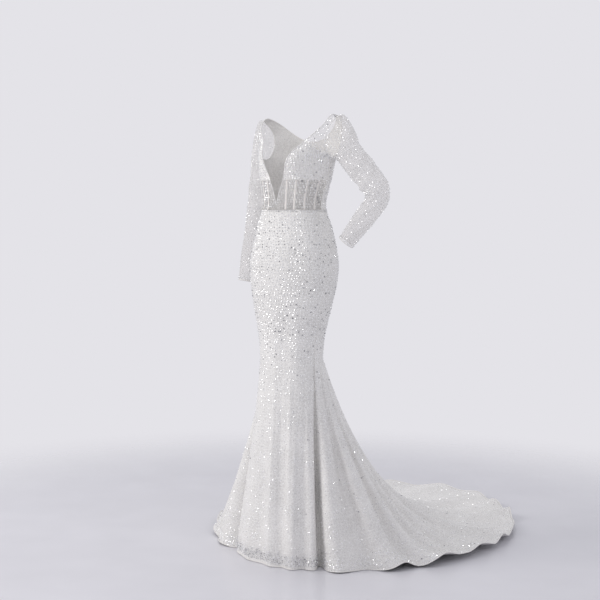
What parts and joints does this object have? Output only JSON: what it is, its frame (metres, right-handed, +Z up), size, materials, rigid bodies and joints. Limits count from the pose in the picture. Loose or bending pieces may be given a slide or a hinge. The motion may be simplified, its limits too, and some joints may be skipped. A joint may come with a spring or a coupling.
{
  "type": "mermaid gown",
  "caption": "Floor-length mermaid gown with a plunging neckline, sheer boned midriff, long sheer sleeves and a sweeping train, in its hollow worn form.",
  "frame": {"origin": "middle of the shoulder line, where the wearer carries the gown, about 1.53 m above the floor", "axes": "+Z up, -Y out of the front, +X toward the wearer's left, train toward +Y"},
  "size_m": [1.1236, 1.3208, 1.5224],
  "materials": {
    "beaded_cloth": "soft white cloth with small beads",
    "sheer": "sheer net with scattered beads",
    "boning": "matte boning channel tape"
  },
  "bodies": {
    "root": {"yoke_left": "sheer", "yoke_right": "sheer", "cup_left": "beaded_cloth", "cup_right": "beaded_cloth", "midriff_left": "sheer", "midriff_right": "sheer", "bone_left_1": "boning", "bone_left_2": "boning", "bone_left_3": "boning", "bone_left_4": "boning", "bone_right_1": "boning", "bone_right_2": "boning", "bone_right_3": "boning", "bone_right_4": "boning", "back_left": "beaded_cloth", "back_right": "beaded_cloth", "sleeve_left": "sheer", "sleeve_right": "sheer", "skirt_front": "beaded_cloth", "skirt_left": "beaded_cloth", "skirt_right": "beaded_cloth"}
  },
  "joints": []
}
